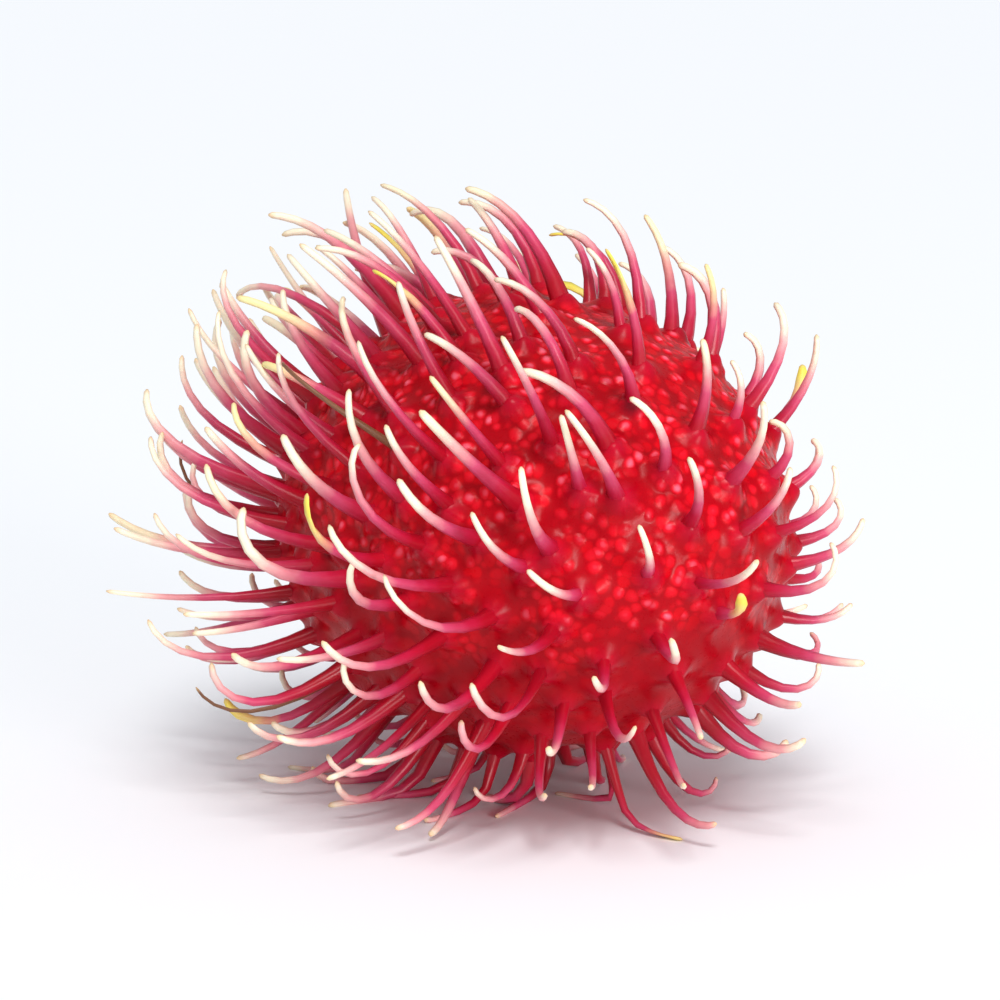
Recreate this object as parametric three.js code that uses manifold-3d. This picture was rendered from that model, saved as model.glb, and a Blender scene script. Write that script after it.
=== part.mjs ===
// One whole rambutan, lying on its side: a leathery egg-shaped rind that grows out into some two
// hundred and fifty soft hooked spines, and the stub of woody stalk left on its stem end.
// Millimetres, +Z up, +X towards the blossom end. The origin is on the table, under the middle of the box.
import * as THREE from 'three';
import { mergeVertices } from 'three/addons/utils/BufferGeometryUtils.js';
import Module from 'manifold-3d';

const wasm = await Module();
wasm.setup();

// The rind without its spines: an egg, a little wider at the stem end, held off the table by bent spines.
const rind = {
  halfLength: 23.5,
  halfWidth: 19.2,
  halfHeight: 18.2,
  eggTaper: 0.06,
  lift: 4.4,
  meridians: 24,
  rings: 15,
};

// The spines: golden-angle spacing over the whole rind, closer on one side, with none round the stalk.
const spine = {
  count: 268,
  closerSide: new THREE.Vector3(-0.14, -0.2, -0.02),
  scatterAlong: 3.4,
  scatterAround: 0.17,
  shortest: 7.6,
  longest: 13.4,
  longSide: new THREE.Vector3(-0.477, -0.763, 0.1).normalize(),
  longerThere: 3.4,
  rootDepth: 0.8,
  tipRadius: 0.26,
  taper: 0.33,
  taperPower: 1.3,
  rootFlare: 0.34,
  flarePower: 5,
  sides: 3,
  segments: 3,
  crowding: 1.25,
  fullness: 1.4,
  steps: 24,
};

// How the spines are combed: they leave the rind square to it and lean over towards one side.
const comb = {
  direction: new THREE.Vector3(-0.271, -0.208, 0.92).normalize(),
  droop: 0.9,
  unruliness: 0.8,
  leastLean: 0.05,
  mostLean: 0.3,
  leastReach: 0.5,
  mostReach: 1.05,
  leastTurn: 0.6,
  mostTurn: 0.8,
  topTurn: 0.7,
  slackBelow: 0.6,
  leastCurl: 0,
  mostCurl: 1.9,
  curlPower: 3.5,
  curlAnyway: 1.1,
  curlAgainst: 0.4,
  sway: 0.5,
};

// What bends a spine out of the way: the table below it and the rind beside it.
const tableFalloff = 1.8;
const rindFalloff = 3;
const rindClearance = 1.1;
const pressedFlat = 0.5;

// The stub of stalk, and the bare ring of rind round it.
const stalk = {
  bareAngle: THREE.MathUtils.degToRad(19),
  collarRadius: 2.6,
  collarHeight: 0.9,
  neckHeight: 1.7,
  radius: 1.7,
  snappedRadius: 1.2,
  length: 4.6,
  dish: 0.2,
  gap: 0.3,
  sides: 14,
};

const goldenAngle = Math.PI * (3 - Math.sqrt(5));

// A repeatable number from 0 to 1 for each spine and each of its traits.
const trait = {
  along: 1,
  around: 2,
  length: 3,
  aimX: 4,
  aimY: 5,
  aimZ: 6,
  lean: 7,
  reach: 8,
  curl: 9,
  sway: 10,
};

function chance(index, which) {
  const value = Math.sin(index * 127.1 + which * 311.7) * 43758.5453;
  return value - Math.floor(value);
}

function between(low, high, share) {
  return low + (high - low) * share;
}

// A point of the unit sphere carried onto the egg: the cross section swells towards -X.
function ontoRind(unit) {
  const swell = 1 - rind.eggTaper * unit.x;
  return new THREE.Vector3(
    rind.halfLength * unit.x,
    rind.halfWidth * swell * unit.y,
    rind.halfHeight * swell * unit.z,
  );
}

// How far a point is outside the rind, about, and which way is out.
function awayFromRind(point) {
  const swell = 1 - rind.eggTaper * point.x / rind.halfLength;
  const half = new THREE.Vector3(rind.halfLength, rind.halfWidth * swell, rind.halfHeight * swell);
  const scaled = point.clone().divide(half);
  const outward = scaled.clone().divide(half).normalize();
  return { height: point.length() * (1 - 1 / scaled.length()), outward };
}

// The places that spines grow from, as unit vectors.
function spineSites() {
  const sites = [];
  for (let index = 0; index < spine.count; index++) {
    const alongJitter = spine.scatterAlong * (chance(index, trait.along) - 0.5);
    const aroundJitter = spine.scatterAround * (chance(index, trait.around) - 0.5);
    const along = THREE.MathUtils.clamp(1 - 2 * (index + 0.5 + alongJitter) / spine.count, -1, 1);
    const angle = index * goldenAngle + aroundJitter;
    const across = Math.sqrt(1 - along * along);
    const unit = new THREE.Vector3(along, across * Math.cos(angle), across * Math.sin(angle));
    unit.add(spine.closerSide).normalize();
    if (unit.x > -Math.cos(stalk.bareAngle)) sites.push({ index, unit });
  }
  return sites;
}

function radiusAt(t) {
  const left = 1 - t;
  const tapered = spine.tipRadius + spine.taper * left ** spine.taperPower;
  return tapered + spine.rootFlare * left ** spine.flarePower;
}

// Keeps a direction from pointing into a surface: the nearer the surface, the less it may point that way.
function steerOff(direction, outward, height, falloff) {
  const climb = direction.dot(outward);
  const least = -Math.max(height, 0) / falloff + (height < 0 ? 0.15 : 0);
  if (climb >= least) return;
  direction.addScaledVector(outward, -climb);
  if (direction.length() < 0.05) {
    direction.add(comb.direction);
    direction.addScaledVector(outward, -comb.direction.dot(outward));
  }
  const level = Math.sqrt(Math.max(1 - least * least, 0));
  direction.setLength(level).addScaledVector(outward, least);
}

// The middle line of one spine, from inside the rind to its tip, relative to the rind's centre.
function spinePath({ index, unit }) {
  const start = ontoRind(unit);
  const { outward: square } = awayFromRind(start);
  const plainLength = between(spine.shortest, spine.longest, chance(index, trait.length));
  const withComb = square.dot(comb.direction);
  const length = plainLength + spine.longerThere * square.dot(spine.longSide);
  const aim = comb.direction.clone();
  aim.z -= comb.droop * square.z;
  aim.normalize();
  aim.x += comb.unruliness * (chance(index, trait.aimX) - 0.5);
  aim.y += comb.unruliness * (chance(index, trait.aimY) - 0.5);
  aim.z += comb.unruliness * (chance(index, trait.aimZ) - 0.5);
  aim.normalize();
  const hinge = new THREE.Vector3().crossVectors(square, aim).normalize();
  const slack = 1 - comb.slackBelow * Math.max(-square.z, 0);
  const mostTurn = comb.mostTurn + comb.topTurn * Math.max(square.z, 0);
  const fullTurn = Math.min(Math.max(square.angleTo(aim), comb.leastTurn), mostTurn) * slack;
  const lean = between(comb.leastLean, comb.mostLean, chance(index, trait.lean));
  const reach = between(comb.leastReach, comb.mostReach, chance(index, trait.reach));
  const hook = between(comb.leastCurl, comb.mostCurl, chance(index, trait.curl));
  const curl = hook * (comb.curlAnyway - comb.curlAgainst * withComb);
  const sway = comb.sway * (chance(index, trait.sway) - 0.5);
  const step = (length + spine.rootDepth) / spine.steps;
  const tableUp = new THREE.Vector3(0, 0, 1);
  const point = start.clone().addScaledVector(square, -spine.rootDepth);
  const path = [point.clone()];
  for (let i = 0; i < spine.steps; i++) {
    const t = (i + 0.5) / spine.steps;
    const turn = fullTurn * between(lean, reach, t) + curl * t ** comb.curlPower;
    const direction = square.clone().applyAxisAngle(hinge, turn).addScaledVector(hinge, sway * t).normalize();
    if (t > 0.15) {
      const near = awayFromRind(point);
      steerOff(direction, near.outward, near.height - rindClearance, rindFalloff);
      direction.normalize();
    }
    const tableHeight = point.z + rind.halfHeight + rind.lift - pressedFlat * radiusAt(t);
    steerOff(direction, tableUp, tableHeight, tableFalloff);
    point.addScaledVector(direction.normalize(), step);
    path.push(point.clone());
  }
  return path;
}

// A tapered rod bent along a path, its rings crowded towards the root.
function spineGeometry(path) {
  const geometry = new THREE.CylinderGeometry(1, 1, 1, spine.sides, spine.segments);
  const position = geometry.attributes.position;
  const curve = new THREE.CatmullRomCurve3(path);
  const upward = new THREE.Vector3(0, 0, 1);
  const forward = new THREE.Vector3(1, 0, 0);
  const rings = [];
  let side = new THREE.Vector3();
  for (let ring = 0; ring <= spine.segments; ring++) {
    const t = (ring / spine.segments) ** spine.crowding;
    const tangent = curve.getTangent(t);
    if (ring === 0) side.crossVectors(tangent, Math.abs(tangent.z) < 0.9 ? upward : forward);
    side = side.clone().addScaledVector(tangent, -side.dot(tangent)).normalize();
    const other = new THREE.Vector3().crossVectors(tangent, side);
    rings.push({ centre: curve.getPoint(t), side, other, radius: radiusAt(t) * spine.fullness });
  }
  for (let i = 0; i < position.count; i++) {
    const ring = rings[Math.round((position.getY(i) + 0.5) * spine.segments)];
    const place = ring.centre.clone();
    place.addScaledVector(ring.side, -position.getX(i) * ring.radius);
    place.addScaledVector(ring.other, position.getZ(i) * ring.radius);
    position.setXYZ(i, place.x, place.y, place.z);
  }
  return geometry;
}

function rindGeometry() {
  const geometry = new THREE.SphereGeometry(1, rind.meridians, rind.rings).rotateZ(Math.PI / 2);
  const position = geometry.attributes.position;
  for (let i = 0; i < position.count; i++) {
    const place = ontoRind(new THREE.Vector3().fromBufferAttribute(position, i));
    position.setXYZ(i, place.x, place.y, place.z);
  }
  return geometry;
}

function toSolid(geometry) {
  const bare = geometry.clone();
  bare.deleteAttribute('normal');
  bare.deleteAttribute('uv');
  const closed = mergeVertices(bare, 1e-5);
  const vertProperties = Float32Array.from(closed.attributes.position.array);
  const triVerts = Uint32Array.from(closed.index.array);
  return new wasm.Manifold(new wasm.Mesh({ numProp: 3, vertProperties, triVerts }));
}

function toGeometry(solid) {
  const mesh = solid.getMesh();
  const geometry = new THREE.BufferGeometry();
  geometry.setAttribute('position', new THREE.BufferAttribute(Float32Array.from(mesh.vertProperties), 3));
  geometry.setIndex(new THREE.BufferAttribute(Uint32Array.from(mesh.triVerts), 1));
  return geometry;
}

// Rind and spines grew as one, so they are one solid, trimmed flat where it presses on the table.
function fruitSolid() {
  const middle = rind.halfHeight + rind.lift;
  const pieces = [toSolid(rindGeometry().translate(0, 0, middle))];
  for (const site of spineSites()) {
    pieces.push(toSolid(spineGeometry(spinePath(site)).translate(0, 0, middle)));
  }
  const slab = new THREE.BoxGeometry(200, 200, 20).translate(0, 0, -10);
  return wasm.Manifold.union(pieces).subtract(toSolid(slab)).simplify(0.03);
}

// The stub stands on the stem end: a corky collar, a short neck and a snapped end.
function stalkGeometry() {
  const outline = [
    new THREE.Vector2(0, 0),
    new THREE.Vector2(stalk.collarRadius, 0),
    new THREE.Vector2(stalk.collarRadius, stalk.collarHeight),
    new THREE.Vector2(stalk.radius, stalk.neckHeight),
    new THREE.Vector2(stalk.radius, stalk.length - stalk.dish),
    new THREE.Vector2(stalk.snappedRadius, stalk.length),
    new THREE.Vector2(0, stalk.length - stalk.dish),
  ];
  return new THREE.LatheGeometry(outline, stalk.sides).rotateZ(Math.PI / 2);
}

const fruitMaterial = new THREE.MeshStandardMaterial({ color: 0xc4142a, roughness: 0.45, metalness: 0 });
const stalkMaterial = new THREE.MeshStandardMaterial({ color: 0x6b4a2c, roughness: 0.85, metalness: 0 });

const fruit = new THREE.Mesh(toGeometry(fruitSolid()), fruitMaterial);
fruit.name = 'fruit';

const stemStub = new THREE.Mesh(stalkGeometry(), stalkMaterial);
stemStub.name = 'stem_stub';
stemStub.position.set(-rind.halfLength - stalk.gap, 0, rind.halfHeight + rind.lift);

const rambutan = new THREE.Group();
rambutan.add(fruit, stemStub);

// Centred over the origin.
const box = new THREE.Box3().setFromObject(rambutan, true);
rambutan.position.set(-(box.min.x + box.max.x) / 2, -(box.min.y + box.max.y) / 2, 0);

export default rambutan;
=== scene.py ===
import math

import bpy
import numpy as np
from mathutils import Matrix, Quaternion, Vector, kdtree, noise


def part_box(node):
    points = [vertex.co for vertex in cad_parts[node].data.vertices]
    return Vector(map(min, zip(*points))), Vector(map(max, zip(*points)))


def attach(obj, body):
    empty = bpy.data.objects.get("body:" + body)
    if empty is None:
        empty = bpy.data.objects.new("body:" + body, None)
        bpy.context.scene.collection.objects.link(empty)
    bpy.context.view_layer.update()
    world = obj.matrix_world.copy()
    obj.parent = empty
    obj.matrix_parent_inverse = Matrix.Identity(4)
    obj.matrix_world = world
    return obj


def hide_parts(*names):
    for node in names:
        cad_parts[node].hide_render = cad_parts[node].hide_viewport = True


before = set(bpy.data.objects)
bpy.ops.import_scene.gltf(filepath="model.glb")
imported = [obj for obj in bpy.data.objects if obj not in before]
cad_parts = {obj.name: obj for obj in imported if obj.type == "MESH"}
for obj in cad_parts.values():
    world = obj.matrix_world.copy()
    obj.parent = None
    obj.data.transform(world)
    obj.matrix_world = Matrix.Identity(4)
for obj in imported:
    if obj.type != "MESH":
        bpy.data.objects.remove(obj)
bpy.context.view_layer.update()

mm = 0.001
goldenAngle = math.pi * (3 - math.sqrt(5))


def say(words):
    print("rambutan:", words)


def between(low, high, share):
    return low + (high - low) * share


def easedStep(low, high, value):
    share = min(max((value - low) / (high - low), 0), 1)
    return share * share * (3 - 2 * share)


def chance(index, which):        # the same repeatable chances as in the CAD
    value = math.sin(index * 127.1 + which * 311.7) * 43758.5453
    return value - math.floor(value)


def hexColour(code):
    shares = [int(code[i:i + 2], 16) / 255 for i in (1, 3, 5)]
    return [s / 12.92 if s <= 0.04045 else ((s + 0.055) / 1.055) ** 2.4 for s in shares] + [1.0]


def addNode(tree, kind, inputs=None, **settings):        # a shader node's kind is given without its prefix
    node = tree.nodes.new(kind if "Node" in kind else "ShaderNode" + kind)
    for name, value in settings.items():
        setattr(node, name, value)
    for name, value in (inputs or {}).items():
        if isinstance(value, bpy.types.NodeSocket):
            tree.links.new(value, node.inputs[name])
        else:
            node.inputs[name].default_value = value
    return node


def setStops(ramp, stops):
    elements = ramp.color_ramp.elements
    while len(elements) < len(stops):
        elements.new(0.5)
    for element, (place, code) in zip(elements, stops):
        element.position = place
        element.color = hexColour(code)


def newMaterial(name, evenly):   # evenly holds what is the same all over the surface
    material = bpy.data.materials.new(name)
    material.use_nodes = True
    tree = material.node_tree
    surface = tree.nodes["Principled BSDF"]
    for socket, value in evenly.items():
        surface.inputs[socket].default_value = value
    return material, tree, surface


def deselectAll():
    bpy.ops.object.select_all(action="DESELECT")


def coordinates(mesh):
    flat = np.empty(len(mesh.vertices) * 3)
    mesh.vertices.foreach_get("co", flat)
    return flat.reshape(-1, 3)


def placeVertices(mesh, places):
    mesh.vertices.foreach_set("co", np.asarray(places, dtype=float).ravel())
    mesh.update()


def pointValues(mesh, name, values):
    layer = mesh.attributes.new(name, "FLOAT", "POINT")
    layer.data.foreach_set("value", np.asarray(values, dtype=float))


def layMap(mesh, placeOf):       # placeOf gives a corner's place on the map from its face and vertex
    layer = mesh.uv_layers.new(name="OFBake")
    for face in mesh.polygons:
        for loop in face.loop_indices:
            layer.uv[loop].vector = placeOf(face, mesh.loops[loop].vertex_index)


# How the fruit grew: the rind and the spines' paths repeat the CAD's, in millimetres
# from the middle of the rind.
rindShape = {
    "halfLength": 23.5,
    "halfWidth": 19.2,
    "halfHeight": 18.2,
    "eggTaper": 0.06,
}

spineGrowth = {
    "count": 268,
    "crowding": Vector((-0.14, -0.2, -0.02)),       # the spines stand closer on this side
    "bareAngle": math.radians(19),
    "scatterAlong": 3.4,
    "scatterAround": 0.17,
    "shortest": 7.6,
    "longest": 13.4,
    "longSide": Vector((-0.477, -0.763, 0.1)).normalized(),
    "longerThere": 3.4,
    "rootDepth": 0.8,
    "tipRadius": 0.26,
    "taper": 0.33,
    "taperPower": 1.3,
    "rootFlare": 0.34,
    "flarePower": 5,
    "steps": 24,
    "comb": Vector((-0.271, -0.208, 0.92)).normalized(),
    "droop": 0.9,
    "unruliness": 0.8,
    "lean": (0.05, 0.3),
    "reach": (0.5, 1.05),
    "leastTurn": 0.6,
    "mostTurn": 0.8,
    "topTurn": 0.7,
    "slackBelow": 0.6,
    "hook": (0.0, 1.9),
    "curlPower": 3.5,
    "curlAnyway": 1.1,
    "curlAgainst": 0.4,
    "sway": 0.5,
    "tableFalloff": 1.8,
    "rindFalloff": 3,
    "rindClearance": 1.1,
    "freeFrom": 0.15,            # the share of a spine that leaves the rind unsteered
    "leastRise": 0.15,           # how fast it comes up again from below a surface
    "tooSteep": 0.05,
    "pressedFlat": 0.5,
    "stalkGap": 0.3,
}

stubLow, stubHigh = (np.array(corner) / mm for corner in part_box("stem_stub"))
rindCentre = Vector((
    stubHigh[0] + spineGrowth["stalkGap"] + rindShape["halfLength"],
    (stubLow[1] + stubHigh[1]) / 2,
    (stubLow[2] + stubHigh[2]) / 2,
))


def ontoRind(unit):
    swell = 1 - rindShape["eggTaper"] * unit[0]
    return Vector((
        rindShape["halfLength"] * unit[0],
        rindShape["halfWidth"] * swell * unit[1],
        rindShape["halfHeight"] * swell * unit[2],
    ))


def awayFromRind(point):
    swell = 1 - rindShape["eggTaper"] * point.x / rindShape["halfLength"]
    half = (
        rindShape["halfLength"],
        rindShape["halfWidth"] * swell,
        rindShape["halfHeight"] * swell,
    )
    scaled = Vector([p / h for p, h in zip(point, half)])
    outward = Vector([s / h for s, h in zip(scaled, half)]).normalized()
    return point.length * (1 - 1 / scaled.length), outward


def spineSites():
    g = spineGrowth
    sites = []
    for index in range(g["count"]):
        alongJitter = g["scatterAlong"] * (chance(index, 1) - 0.5)
        aroundJitter = g["scatterAround"] * (chance(index, 2) - 0.5)
        along = min(max(1 - 2 * (index + 0.5 + alongJitter) / g["count"], -1), 1)
        angle = index * goldenAngle + aroundJitter
        across = math.sqrt(1 - along * along)
        unit = Vector((along, across * math.cos(angle), across * math.sin(angle)))
        unit = (unit + g["crowding"]).normalized()
        if unit.x > -math.cos(g["bareAngle"]):
            sites.append((index, unit))
    return sites


def radiusAt(t):
    g = spineGrowth
    left = 1 - t
    return (
        g["tipRadius"]
        + g["taper"] * left ** g["taperPower"]
        + g["rootFlare"] * left ** g["flarePower"]
    )


def steerOff(direction, outward, height, falloff):
    g = spineGrowth
    climb = direction.dot(outward)
    least = -max(height, 0) / falloff + (g["leastRise"] if height < 0 else 0)
    if climb >= least:
        return direction
    level = direction - outward * climb
    if level.length < g["tooSteep"]:
        level += g["comb"] - outward * g["comb"].dot(outward)
    return level.normalized() * math.sqrt(max(1 - least * least, 0)) + outward * least


def spinePath(index, unit):
    g = spineGrowth
    start = ontoRind(unit)
    square = awayFromRind(start)[1]
    withComb = square.dot(g["comb"])
    length = between(g["shortest"], g["longest"], chance(index, 3))
    length += g["longerThere"] * square.dot(g["longSide"])
    combed = (g["comb"] - Vector((0, 0, g["droop"] * square.z))).normalized()
    aim = combed + g["unruliness"] * Vector([chance(index, which) - 0.5 for which in (4, 5, 6)])
    aim.normalize()
    hinge = square.cross(aim).normalized()
    slack = 1 - g["slackBelow"] * max(-square.z, 0)
    mostTurn = g["mostTurn"] + g["topTurn"] * max(square.z, 0)
    fullTurn = min(max(square.angle(aim), g["leastTurn"]), mostTurn) * slack
    lean = between(*g["lean"], chance(index, 7))
    reach = between(*g["reach"], chance(index, 8))
    curl = between(*g["hook"], chance(index, 9)) * (g["curlAnyway"] - g["curlAgainst"] * withComb)
    sway = g["sway"] * (chance(index, 10) - 0.5)
    step = (length + g["rootDepth"]) / g["steps"]
    point = start - square * g["rootDepth"]
    path = [point.copy()]
    for i in range(g["steps"]):
        t = (i + 0.5) / g["steps"]
        turn = fullTurn * between(lean, reach, t) + curl * t ** g["curlPower"]
        direction = (Quaternion(hinge, turn) @ square + hinge * sway * t).normalized()
        if t > g["freeFrom"]:
            height, outward = awayFromRind(point)
            height -= g["rindClearance"]
            direction = steerOff(direction, outward, height, g["rindFalloff"]).normalized()
        tableHeight = point.z + rindCentre.z - g["pressedFlat"] * radiusAt(t)
        direction = steerOff(direction, Vector((0, 0, 1)), tableHeight, g["tableFalloff"]).normalized()
        point = point + direction * step
        path.append(point.copy())
    return path


sites = spineSites()
paths = {index: spinePath(index, unit) for index, unit in sites}
say(f"{len(paths)} spines laid out")


# The rind: an egg-shaped skin that swells up round the root of every spine, with pebbles between.
# Sizes are in millimetres.
rindSkin = {
    "cuts": (15, 7),             # 128 faces along each edge of the cube it starts from
    "mapShare": 0.97,            # how much of its place on the map each side of the cube fills
    "rootsFelt": 3,              # the nearest roots raise each spot
    "swellingHeight": 1.15,
    "swellingRadius": 1.15,
    "areoleHeight": 0.25,
    "areoleRadius": 2.6,
    "areoleLevel": 0.7,
    "lumps": ((9.0, 0.35), (2.6, 0.12)),        # size and height of its unevenness
    "pebblyFrom": (-0.7, 0.45),  # the underside is smooth, the top is pebbly
    "pebblyPatch": (6.0, 0.7),   # size and strength
    "pebblePitch": 1.0,
    "pebbleHeight": 0.22,
    "pebbleSlope": (0.7, 0.05),  # from a pebble's foot to its top, in pitches
    "pebbleWobble": (1.6, 0.7),  # size and strength
    "bareSwelling": (0.3, 0.9),  # no pebbles round a root
}


def treeOf(points):
    tree = kdtree.KDTree(len(points))
    for index, point in enumerate(points):
        tree.insert(point, index)
    tree.balance()
    return tree


def nearness(distances, radius):
    return sum(math.exp(-(distance / radius) ** 2) for distance in distances)


def growRind():
    s = rindSkin
    deselectAll()
    bpy.ops.mesh.primitive_cube_add(size=2)
    rind = bpy.context.object
    rind.name = rind.data.name = "rind"
    bpy.ops.object.mode_set(mode="EDIT")
    bpy.ops.mesh.select_all(action="SELECT")
    for cuts in s["cuts"]:
        bpy.ops.mesh.subdivide(number_cuts=cuts)
    bpy.ops.object.mode_set(mode="OBJECT")

    cube = coordinates(rind.data)

    def cubeMap(face, vertex):           # the cube's six sides, three across and two up
        axis = max(range(3), key=lambda way: abs(face.normal[way]))
        row = int(face.normal[axis] > 0)
        x, y = (cube[vertex][way] * s["mapShare"] / 2 + 0.5 for way in range(3) if way != axis)
        return (axis + x) / 3, (row + y) / 2

    layMap(rind.data, cubeMap)

    units = np.tan(cube * math.pi / 4)           # evens out the faces before the cube is rounded
    units /= np.linalg.norm(units, axis=1, keepdims=True)
    rootTree = treeOf([ontoRind(unit) for _, unit in sites])
    patchSize, patchStrength = s["pebblyPatch"]
    places = np.empty_like(units)
    swellings = np.empty(len(units))
    pebbly = np.empty(len(units))
    for i, unit in enumerate(units):
        onSkin = ontoRind(unit)
        outward = awayFromRind(onSkin)[1]
        nearRoots = [distance for _, _, distance in rootTree.find_n(onSkin, s["rootsFelt"])]
        swellings[i] = nearness(nearRoots, s["swellingRadius"])
        lift = s["swellingHeight"] * swellings[i]
        lift += s["areoleHeight"] * (nearness(nearRoots, s["areoleRadius"]) - s["areoleLevel"])
        lift += sum(height * noise.noise(onSkin / size) for size, height in s["lumps"])
        places[i] = (onSkin + outward * lift + rindCentre) * mm
        pebbly[i] = easedStep(*s["pebblyFrom"], outward.z + patchStrength * noise.noise(onSkin / patchSize))
    placeVertices(rind.data, places)
    pointValues(rind.data, "swelling", swellings)
    pointValues(rind.data, "pebbly", pebbly)
    bpy.ops.object.shade_smooth()
    return rind


# How far up a pebble each point is: as if all the pebbles were whole, and as they really stand out.
def findPebbles(tree, place, pebbly, swelling, separator):
    s = rindSkin
    pitch = s["pebblePitch"] * mm
    foot, top = s["pebbleSlope"]
    ringStart, ringEnd = s["bareSwelling"]
    cells = addNode(tree, "TexVoronoi", {"Vector": place, "Scale": 1 / pitch}, feature="F1")
    dome = addNode(
        tree, "MapRange", {"Value": cells.outputs["Distance"], "From Min": foot, "From Max": top},
        interpolation_type="SMOOTHSTEP").outputs["Result"]
    cellChance = addNode(tree, separator, {0: cells.outputs["Color"]}).outputs[0]
    covered = addNode(tree, "MapRange", {
        "Value": swelling, "From Min": ringStart, "From Max": ringEnd,
        "To Min": 1.0, "To Max": 0.0}).outputs["Result"]
    raised = dome
    for share in (cellChance, pebbly, covered):
        raised = addNode(tree, "Math", {0: raised, 1: share}, operation="MULTIPLY").outputs[0]
    return dome, raised


# Raises the pebbles in the mesh, and keeps where each point was, so that the colours fall on them.
def raisePebbles(rind):
    s = rindSkin
    wobbleSize, wobbleStrength = s["pebbleWobble"]
    tree = bpy.data.node_groups.new("pebbles", "GeometryNodeTree")
    for way in ("INPUT", "OUTPUT"):
        tree.interface.new_socket("Geometry", in_out=way, socket_type="NodeSocketGeometry")
    start = addNode(tree, "NodeGroupInput").outputs[0]
    where = addNode(tree, "GeometryNodeInputPosition").outputs[0]
    outward = addNode(tree, "GeometryNodeInputNormal").outputs[0]
    wobble = addNode(tree, "TexNoise", {
        "Vector": where, "Scale": 1 / (wobbleSize * mm), "Detail": 1.0}).outputs["Color"]
    moved = addNode(
        tree, "VectorMath", {0: wobble, 1: [wobbleStrength * mm] * 3, 2: where},
        operation="MULTIPLY_ADD").outputs[0]
    kept = addNode(
        tree, "GeometryNodeStoreNamedAttribute", {"Geometry": start, "Name": "pebblePlace", "Value": moved},
        data_type="FLOAT_VECTOR", domain="POINT").outputs["Geometry"]
    place, pebbly, swelling = (
        addNode(tree, "GeometryNodeInputNamedAttribute", {"Name": name}, data_type=kind).outputs["Attribute"]
        for name, kind in (("pebblePlace", "FLOAT_VECTOR"), ("pebbly", "FLOAT"), ("swelling", "FLOAT")))
    raised = findPebbles(tree, place, pebbly, swelling, "FunctionNodeSeparateColor")[1]
    height = addNode(
        tree, "Math", {0: raised, 1: s["pebbleHeight"] * mm}, operation="MULTIPLY").outputs[0]
    offset = addNode(tree, "VectorMath", {0: outward, "Scale": height}, operation="SCALE").outputs[0]
    ended = addNode(
        tree, "GeometryNodeSetPosition", {"Geometry": kept, "Offset": offset}).outputs["Geometry"]
    tree.links.new(ended, addNode(tree, "NodeGroupOutput").inputs[0])
    rind.modifiers.new("pebbles", "NODES").node_group = tree
    bpy.ops.object.modifier_apply(modifier="pebbles")


rind = growRind()
raisePebbles(rind)
say(f"rind grown, {len(rind.data.polygons)} faces")


# The spines: one blank rod, copied and bent along every path.
spineBody = {
    "sides": 6,
    "ringPlaces": (0, 0.1, 0.23, 0.38, 0.53, 0.66, 0.77, 0.86, 0.935, 0.982, 1),
    "roundTip": (0.86, 0.28),    # the last two rings' share of the radius
    "thickness": (0.88, 1.12),
    "flatness": (0.82, 1.18),
    "flatDirection": (0.3, 0.5, 0.8),
    "leafTips": 0.05,            # the share of spines that end in a flat blade
    "leafWidth": 2.1,
    "leafPlace": 0.86,
    "leafLength": 0.12,
    "yellowing": (2.5, 1.9),     # the chance of it is stretched by the first and cut by the second
    "yellowSide": (-0.2, 0.7),   # only those that lie with the comb turn yellow
    "redder": 0.1,               # how far along a spine its red reaches, more or less
    "redderBelow": 0.2,
    "redderUpTo": 0.05,
    "dried": 0.04,               # the share of those on the long side that dried out thin
    "driedWithin": 0.45,
    "driedThinness": 0.5,
    "mapColumns": 34,
    "mapRows": 8,
    "cellMargin": (0.04, 0.03),
    "stripWidth": 0.86,          # the rest of a spine's cell on the map holds its two ends
    "endPlace": 0.93,
    "endSize": 0.05,
}


def modelSpineBlank():
    rings = len(spineBody["ringPlaces"]) - 1
    deselectAll()
    bpy.ops.mesh.primitive_cylinder_add(
        vertices=spineBody["sides"], radius=1, depth=1, location=(0, 0, 0.5), end_fill_type="NGON")
    blank = bpy.context.object
    blank.name = "spine_blank"
    bpy.ops.object.transform_apply(location=True, rotation=True, scale=True)
    bpy.ops.object.mode_set(mode="EDIT")
    bpy.ops.mesh.select_mode(type="FACE")
    bpy.ops.mesh.select_all(action="DESELECT")
    bpy.ops.object.mode_set(mode="OBJECT")
    for face in blank.data.polygons:
        face.select = face.normal.z > 0.5
    bpy.ops.object.mode_set(mode="EDIT")
    for _ in range(rings - 1):
        bpy.ops.mesh.extrude_region_move(TRANSFORM_OT_translate={"value": (0, 0, 1)})
    bpy.ops.object.mode_set(mode="OBJECT")
    return blank


def ringFrames(path, places):
    points = np.array(path)
    spots = np.linspace(0, 1, len(path))
    slopes = np.gradient(points, axis=0)
    centres = np.array([np.interp(places, spots, points[:, axis]) for axis in range(3)]).T
    tangents = np.array([np.interp(places, spots, slopes[:, axis]) for axis in range(3)]).T
    tangents /= np.linalg.norm(tangents, axis=1, keepdims=True)
    side = np.cross(tangents[0], spineBody["flatDirection"])
    sides = []
    for tangent in tangents:
        side = side - tangent * side.dot(tangent)
        side /= np.linalg.norm(side)
        sides.append(side.copy())
    return centres, np.array(sides), np.cross(tangents, sides)


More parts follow.
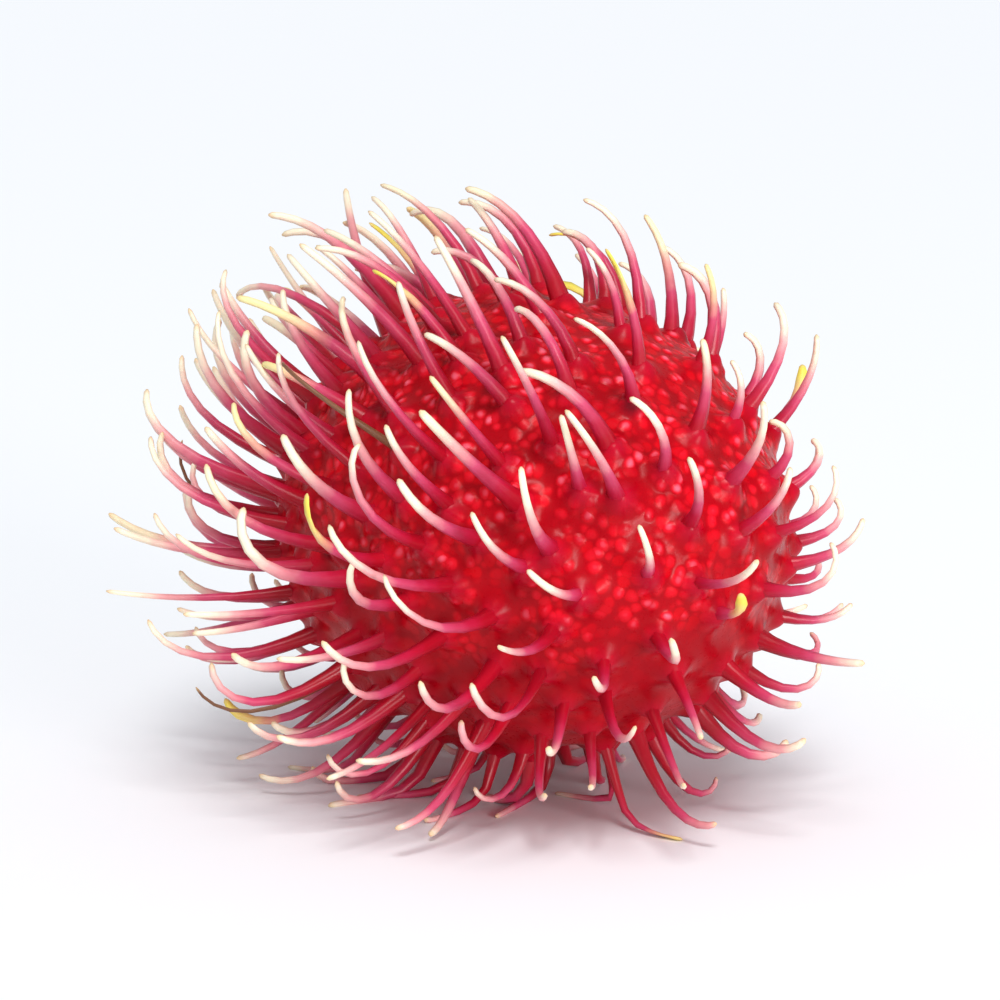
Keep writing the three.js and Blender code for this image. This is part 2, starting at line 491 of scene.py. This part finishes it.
def layStripMap(mesh, order, levels, ringPlaces):        # each spine unrolled in its own cell
    s = spineBody
    row, column = divmod(order, s["mapColumns"])
    shape = coordinates(mesh)
    turns = np.arctan2(shape[:, 1], shape[:, 0]) / (2 * math.pi)
    around = (turns * s["sides"]).round().astype(int) % s["sides"]
    sideMargin, endMargin = s["cellMargin"]

    def stripMap(face, vertex):
        if len(face.vertices) > 4:               # an end lies as a small disc beside the strip
            across = s["endPlace"] + s["endSize"] * shape[vertex][0]
            up = (0.8 if face.normal.z > 0 else 0.2) + s["endSize"] * shape[vertex][1]
        else:
            corners = [around[corner] for corner in face.vertices]
            crossesSeam = min(corners) == 0 and max(corners) == s["sides"] - 1
            step = s["sides"] if crossesSeam and around[vertex] == 0 else around[vertex]
            across = s["stripWidth"] * step / s["sides"]
            up = ringPlaces[levels[vertex]]
        x = column + sideMargin + (1 - 2 * sideMargin) * across
        y = row + endMargin + (1 - 2 * endMargin) * up
        return x / s["mapColumns"], y / s["mapRows"]

    layMap(mesh, stripMap)


def spineTraits(index, unit):
    s = spineBody
    square = awayFromRind(ontoRind(unit))[1]
    onLongSide = square.dot(spineGrowth["longSide"]) > s["driedWithin"]
    isDried = onLongSide and chance(index, 47) < s["dried"]
    hasLeaf = not isDried and chance(index, 44) < s["leafTips"]
    stretch, cut = s["yellowing"]
    yellow = max(chance(index, 46) * stretch - cut, 0)
    yellow *= easedStep(*s["yellowSide"], square.dot(spineGrowth["comb"]))
    redder = between(-s["redder"], s["redder"], chance(index, 42))
    redder -= s["redderBelow"] * min(square.z, s["redderUpTo"])
    return {
        "hasLeaf": hasLeaf,
        "thickness": s["driedThinness"] if isDried else between(*s["thickness"], chance(index, 45)),
        "flatness": between(*s["flatness"], chance(index, 41)),
        "redder": redder,
        "yellow": 1 if hasLeaf else yellow,
        "dried": float(isDried),
    }


# Where the blank's points go, in millimetres from the middle of the rind.
def bendSpine(shape, levels, path, radii, flat):
    centres, sides, others = ringFrames(path, np.array(spineBody["ringPlaces"]))
    x = shape[:, 0] * (radii * flat)[levels]
    y = shape[:, 1] * (radii / flat)[levels]
    return centres[levels] + sides[levels] * x[:, None] + others[levels] * y[:, None]


def growSpines():
    s = spineBody
    blank = modelSpineBlank()
    shape = coordinates(blank.data)
    levels = np.rint(shape[:, 2]).astype(int)
    ringPlaces = np.array(s["ringPlaces"])
    plainRadii = np.array([radiusAt(t) for t in ringPlaces])
    plainRadii[-2:] *= s["roundTip"]
    copies = []
    for order, (index, unit) in enumerate(sites):
        traits = spineTraits(index, unit)
        flat = np.full(len(ringPlaces), traits["flatness"])
        if traits["hasLeaf"]:
            blade = np.exp(-((ringPlaces - s["leafPlace"]) / s["leafLength"]) ** 2)
            flat = flat * (1 - blade) + s["leafWidth"] * blade
        places = bendSpine(shape, levels, paths[index], plainRadii * traits["thickness"], flat)
        places += np.array(rindCentre)
        places[:, 2] = np.maximum(places[:, 2], 0)       # pressed flat where it lies on the table
        copy = bpy.data.objects.new("spine", blank.data.copy())
        bpy.context.collection.objects.link(copy)
        layStripMap(copy.data, order, levels, ringPlaces)
        placeVertices(copy.data, places * mm)
        pointValues(copy.data, "along", ringPlaces[levels])
        for name in ("redder", "yellow", "dried"):
            pointValues(copy.data, name, np.full(len(shape), traits[name]))
        copies.append(copy)
    bpy.data.objects.remove(blank)
    deselectAll()
    for copy in copies:
        copy.select_set(True)
    bpy.context.view_layer.objects.active = copies[0]
    bpy.ops.object.join()
    spines = bpy.context.object
    spines.name = spines.data.name = "spines"
    bpy.ops.object.shade_smooth()
    return spines


spines = growSpines()
say(f"spines grown, {len(spines.data.polygons)} faces")


# The stub of stalk: a twig's corky collar, its neck, and the dished end where it was snapped off.
stalkBody = {
    "sides": 24,
    "sunkIn": 0.9,               # mm of it inside the rind
    "rings": (                   # each ring's distance from the rind and its radius
        (0.7, 2.55), (1.2, 2.2), (1.8, 1.78), (2.8, 1.62),
        (3.9, 1.68), (4.4, 1.5), (4.5, 1.1), (4.25, 0.6),
    ),
    "ridges": 0.16,
    "ridgeLength": 4.0,
    "ridgeWidth": 0.55,
    "splinters": 0.35,
    "splinterWidth": 0.5,
    "splintersFrom": (3.7, 4.4),
    "woodFrom": (4.25, 4.42),
    "pithRadius": 1.0,
}


def growStalk():
    s = stalkBody
    middle = Vector((stubHigh[0], rindCentre.y, rindCentre.z))
    widest = s["rings"][0][1]
    deselectAll()
    bpy.ops.mesh.primitive_cylinder_add(
        vertices=s["sides"], radius=widest * mm, depth=s["sunkIn"] * mm, end_fill_type="NGON",
        location=(middle + Vector((s["sunkIn"] / 2, 0, 0))) * mm, rotation=(0, -math.pi / 2, 0))
    stalk = bpy.context.object
    stalk.name = stalk.data.name = "stalk_stub"
    bpy.ops.object.transform_apply(location=True, rotation=True, scale=True)
    bpy.ops.object.mode_set(mode="EDIT")
    bpy.ops.mesh.select_mode(type="FACE")
    bpy.ops.mesh.select_all(action="DESELECT")
    bpy.ops.object.mode_set(mode="OBJECT")
    for face in stalk.data.polygons:
        face.select = face.normal.x < -0.5
    bpy.ops.object.mode_set(mode="EDIT")
    reached, width = 0, widest
    for place, radius in s["rings"]:
        bpy.ops.mesh.extrude_region_move(TRANSFORM_OT_translate={"value": ((reached - place) * mm, 0, 0)})
        bpy.ops.transform.resize(
            value=(1, radius / width, radius / width),
            center_override=(middle - Vector((place, 0, 0))) * mm)
        reached, width = place, radius
    bpy.ops.mesh.poke()
    bpy.ops.mesh.select_all(action="SELECT")
    bpy.ops.mesh.subdivide(number_cuts=2)
    bpy.ops.mesh.normals_make_consistent(inside=False)
    bpy.ops.object.mode_set(mode="OBJECT")

    places = coordinates(stalk.data) / mm
    snapped = []
    for place in places:
        spot = Vector(place) - middle
        outward = Vector((0, spot.y, spot.z)).normalized()
        ridge = noise.noise(Vector((
            spot.x / s["ridgeLength"], spot.y / s["ridgeWidth"], spot.z / s["ridgeWidth"])))
        jagged = noise.noise(Vector((0, spot.y / s["splinterWidth"], spot.z / s["splinterWidth"])))
        jagged *= easedStep(*s["splintersFrom"], -spot.x)
        place += np.array(outward * ridge * s["ridges"])
        place[0] += jagged * s["splinters"]
        atEnd = easedStep(*s["woodFrom"], -spot.x)
        snapped.append(atEnd if spot.yz.length > s["pithRadius"] else 1.0)
    placeVertices(stalk.data, places * mm)
    pointValues(stalk.data, "snapped", snapped)
    bpy.ops.object.shade_smooth()
    return stalk


stalk = growStalk()
say(f"stalk grown, {len(stalk.data.polygons)} faces")


rindLook = {
    # furrow colour: painted shade in the furrows between pebbles, also used for random darker patches
    "furrowShadeAndPatches": "#9c0010",
    "skin": "#c40010",
    # pebble and the pale pink colour after it: brighter red up each raised pebble, with a painted pale pink
    # highlight on its top
    "pebble": "#dc1428",
    "paintedPebbleHighlight": "#f4667c",
    # painted shade: a darker red on the smooth underside
    "paintedUndersideShade": "#9c0012",
    # crimson-magenta round each spine's root: partly the rind's own colour, partly painted shade where spine
    # and rind meet
    "root": "#b00a26",
    "speck": "#3a0a12",
    "coats": (                   # each over the last: its colour, what it follows, from, to, at most
        # painted shade in the furrows between the pebbles, where each pebble's dome is low
        ("furrowShadeAndPatches", "dome", 0.35, 0.0, 0.8),
        # painted shade on the underside, where the pebbly mask is low
        ("paintedUndersideShade", "pebbly", 0.75, 0.0, 0.8),
        # random darker patches in the rind's own tone
        ("furrowShadeAndPatches", "broad", 0.5, 0.64, 0.7),
        # round each root: partly its own crimson-magenta, partly painted shade at the junction
        ("root", "swelling", 0.15, 0.8, 1.0),
        ("speck", "spots", 0.15, 0.07, 0.75),
    ),
    "broadSize": 5.0,            # mm
    "speckPitch": 9.0,
    "poreSize": 0.35,
    "poreDepth": 0.015,
    "pebbleGloss": 0.07,         # finer relief on the raised pebbles
    "roughness": (0.2, 0.4),
    "evenly": {
        "IOR": 1.42,
        "Specular IOR Level": 0.16,
        "Subsurface Weight": 0.05,
        "Subsurface Radius": (1.0, 0.1, 0.08),
        "Subsurface Scale": 1.2 * mm,
    },
}


# Leathery fruit skin, grown: a waxy cuticle over pulpy red cells. It gives the eye wet-looking pebbles with
# brighter tops and a painted pink highlight, painted shade in the furrows and on the underside, random darker
# patches, and crimson-magenta where a spine begins, partly its own colour and partly painted shade.
def leatheryRind():
    look = rindLook
    material, tree, surface = newMaterial("leathery_rind", look["evenly"])
    where = addNode(tree, "TexCoord").outputs["Object"]
    swelling, pebbly = (
        addNode(tree, "Attribute", attribute_name=name).outputs["Fac"] for name in ("swelling", "pebbly"))
    place = addNode(tree, "Attribute", attribute_name="pebblePlace").outputs["Vector"]
    dome, raised = findPebbles(tree, place, pebbly, swelling, "SeparateColor")
    broad, fine = (
        addNode(tree, "TexNoise", {"Vector": where, "Scale": 1 / (size * mm), "Detail": 3.0}).outputs["Fac"]
        for size in (look["broadSize"], look["poreSize"]))
    spots = addNode(
        tree, "TexVoronoi", {"Vector": where, "Scale": 1 / (look["speckPitch"] * mm)}).outputs["Distance"]
    follows = {"dome": dome, "pebbly": pebbly, "broad": broad, "swelling": swelling, "spots": spots}

    # painted highlight: brighter red towards each raised pebble's top, pale pink at the very top
    pebbleHighlightRamp = addNode(tree, "ValToRGB", {"Fac": raised})
    setStops(pebbleHighlightRamp, [(0.0, look["skin"]), (0.4, look["pebble"]), (0.9, look["paintedPebbleHighlight"])])
    colour = pebbleHighlightRamp.outputs["Color"]
    for coat, source, start, full, most in look["coats"]:
        share = addNode(tree, "MapRange", {
            "Value": follows[source], "From Min": start, "From Max": full, "To Max": most}).outputs["Result"]
        colour = addNode(
            tree, "Mix", {0: share, 6: colour, 7: hexColour(look[coat])}, data_type="RGBA").outputs[2]
    tree.links.new(colour, surface.inputs["Base Color"])

    wettest, driest = look["roughness"]
    sheen = addNode(tree, "MapRange", {"Value": fine, "To Min": wettest, "To Max": driest}).outputs["Result"]
    tree.links.new(sheen, surface.inputs["Roughness"])
    pores = addNode(tree, "Bump", {"Height": fine, "Strength": 1.0, "Distance": look["poreDepth"] * mm})
    bumps = addNode(tree, "Bump", {
        "Height": raised, "Strength": 1.0, "Distance": look["pebbleGloss"] * mm,
        "Normal": pores.outputs["Normal"]})
    tree.links.new(bumps.outputs["Normal"], surface.inputs["Normal"])
    return material


spineLook = {
    "root": "#ac0a22",
    "low": "#b6183c",
    "middle": "#c84469",
    "high": "#e7a4a4",
    "tip": "#f5e6cc",
    "veryTip": "#dab684",
    "yellowTip": "#ecd85a",
    "driedSkin": "#7a5238",
    "bands": ((0.16, "root"), (0.3, "low"), (0.5, "middle"), (0.7, "high"), (0.84, "tip")),
    "yellowFrom": (0.5, 0.85),   # shares of a spine's length, from its root
    "endFrom": (0.96, 1.0),
    "endShare": 0.8,
    "blotchSize": 1.5,           # mm
    "blotchiness": 0.08,
    "ribsAround": 6.0,
    "ribsAlong": 2.5,
    "ribHeight": 0.02,           # mm
    "roughness": (0.3, 0.5),
    "evenly": {
        "IOR": 1.42,
        "Subsurface Weight": 0.12,
        "Subsurface Radius": (1.0, 0.4, 0.3),
        "Subsurface Scale": 0.6 * mm,
    },
}


# Soft spine skin, grown: smooth and a little waxy, with fine ribs along it. Crimson at the
# root, magenta, then pink, and a dry cream end; a few are yellow-green or have dried brown.
def softSpine():
    look = spineLook
    material, tree, surface = newMaterial("soft_spine", look["evenly"])
    where = addNode(tree, "TexCoord").outputs["Object"]
    unrolled = addNode(tree, "UVMap", uv_map="OFBake").outputs["UV"]
    along, redder, yellow, dried = (
        addNode(tree, "Attribute", attribute_name=name).outputs["Fac"]
        for name in ("along", "redder", "yellow", "dried"))
    blotch = addNode(tree, "TexNoise", {
        "Vector": where, "Scale": 1 / (look["blotchSize"] * mm), "Detail": 2.0}).outputs["Fac"]
    blotched = addNode(tree, "MapRange", {
        "Value": blotch, "To Min": -look["blotchiness"], "To Max": look["blotchiness"]}).outputs["Result"]
    shifted = addNode(tree, "Math", {0: along, 1: redder}, operation="SUBTRACT").outputs[0]
    spot = addNode(tree, "Math", {0: shifted, 1: blotched}, operation="ADD").outputs[0]

    ramp = addNode(tree, "ValToRGB", {"Fac": spot})
    setStops(ramp, [(place, look[band]) for place, band in look["bands"]])
    yellowStart, yellowFull = look["yellowFrom"]
    tipness = addNode(tree, "MapRange", {
        "Value": spot, "From Min": yellowStart, "From Max": yellowFull}).outputs["Result"]
    yellowing = addNode(tree, "Math", {0: tipness, 1: yellow}, operation="MULTIPLY").outputs[0]
    endStart, endFull = look["endFrom"]
    ended = addNode(tree, "MapRange", {
        "Value": along, "From Min": endStart, "From Max": endFull,
        "To Max": look["endShare"]}).outputs["Result"]
    colour = ramp.outputs["Color"]
    for share, coat in ((yellowing, "yellowTip"), (dried, "driedSkin"), (ended, "veryTip")):
        colour = addNode(
            tree, "Mix", {0: share, 6: colour, 7: hexColour(look[coat])}, data_type="RGBA").outputs[2]
    tree.links.new(colour, surface.inputs["Base Color"])

    ribScale = (spineBody["mapColumns"] * look["ribsAround"], spineBody["mapRows"] * look["ribsAlong"], 1.0)
    stretched = addNode(tree, "Mapping", {"Vector": unrolled, "Scale": ribScale}).outputs["Vector"]
    ribs = addNode(tree, "TexNoise", {"Vector": stretched, "Scale": 1.0, "Detail": 2.0}).outputs["Fac"]
    bump = addNode(tree, "Bump", {"Height": ribs, "Strength": 1.0, "Distance": look["ribHeight"] * mm})
    tree.links.new(bump.outputs["Normal"], surface.inputs["Normal"])
    freshest, driest = look["roughness"]
    sheen = addNode(tree, "MapRange", {"Value": spot, "To Min": freshest, "To Max": driest}).outputs["Result"]
    tree.links.new(sheen, surface.inputs["Roughness"])
    return material


barkLook = {
    "bark": "#5c412a",
    "worn": "#947350",
    "wood": "#c9a878",
    "grain": 0.5,                # mm from ridge to ridge
    "grainLength": 6,            # how many times longer than wide
    "furrowDepth": 0.12,
    "evenly": {"Roughness": 0.85, "IOR": 1.45},
}


# Twig bark, dried on: dull, ridged along the stub, greyer and lighter where it is worn. The
# snapped end shows pale fibrous wood.
def twigBark():
    look = barkLook
    material, tree, surface = newMaterial("twig_bark", look["evenly"])
    where = addNode(tree, "TexCoord").outputs["Object"]
    snapped = addNode(tree, "Attribute", attribute_name="snapped").outputs["Fac"]
    across = 1 / (look["grain"] * mm)
    grainScale = (across / look["grainLength"], across, across)
    stretched = addNode(tree, "Mapping", {"Vector": where, "Scale": grainScale}).outputs["Vector"]
    grain = addNode(tree, "TexNoise", {"Vector": stretched, "Scale": 1.0, "Detail": 4.0}).outputs["Fac"]
    bark = addNode(tree, "ValToRGB", {"Fac": grain})
    setStops(bark, [(0.38, look["bark"]), (0.66, look["worn"])])
    ended = addNode(
        tree, "Mix", {0: snapped, 6: bark.outputs["Color"], 7: hexColour(look["wood"])}, data_type="RGBA")
    tree.links.new(ended.outputs[2], surface.inputs["Base Color"])
    bump = addNode(tree, "Bump", {"Height": grain, "Strength": 1.0, "Distance": look["furrowDepth"] * mm})
    tree.links.new(bump.outputs["Normal"], surface.inputs["Normal"])
    return material


rind.data.materials.append(leatheryRind())
spines.data.materials.append(softSpine())
stalk.data.materials.append(twigBark())
say("materials made")

for piece, node, slot in ((rind, "fruit", "rind"), (spines, "fruit", "rind"), (stalk, "stem_stub", "stalk")):
    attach(piece, "root")
    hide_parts(node)


# The stage, in metres: white card, a broad key light from above and in front, a low fill, and light
# all round.
stageLook = {
    "floor": "#f8fafd",
    "floorSize": 8,
    "floorEvenly": {"Roughness": 0.9, "Specular IOR Level": 0.0},
    "around": (0.93, 0.96, 1.0, 1.0),
    "aroundStrength": 0.44,
    "keyFrom": (0.45, -0.25, 0.86),
    "keyStrength": 2.1,
    "keyAngle": 22.0,
    "fillFrom": (0.62, 0.0, 0.09),
    "fillSize": 0.2,
    "fillPower": 2.4,
    "lampAim": (0.0, 0.0, 0.02),
    "azimuth": 58.0,
    "elevation": 11.0,
    "distance": 0.33,
    "lens": 146.0,
    "nearest": 0.01,
    "aim": (0.0, 0.0, 0.0245),
}


def turnedTo(source, target):
    return (Vector(target) - Vector(source)).to_track_quat("-Z", "Y").to_euler()


def setStage():
    s = stageLook
    deselectAll()
    bpy.ops.mesh.primitive_plane_add(size=s["floorSize"], location=(0, 0, 0))
    floor = bpy.context.object
    floor.name = "floor"
    card = newMaterial("white_card", {"Base Color": hexColour(s["floor"]), **s["floorEvenly"]})[0]
    floor.data.materials.append(card)

    world = bpy.data.worlds.new("studio")
    world.use_nodes = True
    lit = world.node_tree.nodes["Background"]
    lit.inputs["Color"].default_value = s["around"]
    lit.inputs["Strength"].default_value = s["aroundStrength"]
    bpy.context.scene.world = world

    key = bpy.data.lights.new("key", "SUN")
    key.angle = math.radians(s["keyAngle"])
    key.energy = s["keyStrength"]
    fill = bpy.data.lights.new("fill", "AREA")
    fill.size = s["fillSize"]
    fill.energy = s["fillPower"]
    for lamp, place in ((key, s["keyFrom"]), (fill, s["fillFrom"])):
        holder = bpy.data.objects.new(lamp.name, lamp)
        bpy.context.collection.objects.link(holder)
        holder.location = place
        holder.rotation_euler = turnedTo(place, s["lampAim"])

    azimuth, elevation = math.radians(s["azimuth"]), math.radians(s["elevation"])
    level = math.cos(elevation)
    back = Vector((math.sin(azimuth) * level, -math.cos(azimuth) * level, math.sin(elevation)))
    view = bpy.data.cameras.new("camera")
    view.lens = s["lens"]
    view.clip_start = s["nearest"]
    camera = bpy.data.objects.new("camera", view)
    bpy.context.collection.objects.link(camera)
    camera.location = Vector(s["aim"]) + back * s["distance"]
    camera.rotation_euler = turnedTo(camera.location, s["aim"])
    bpy.context.scene.camera = camera
    bpy.context.scene.view_settings.view_transform = "Standard"


setStage()
say("stage set")
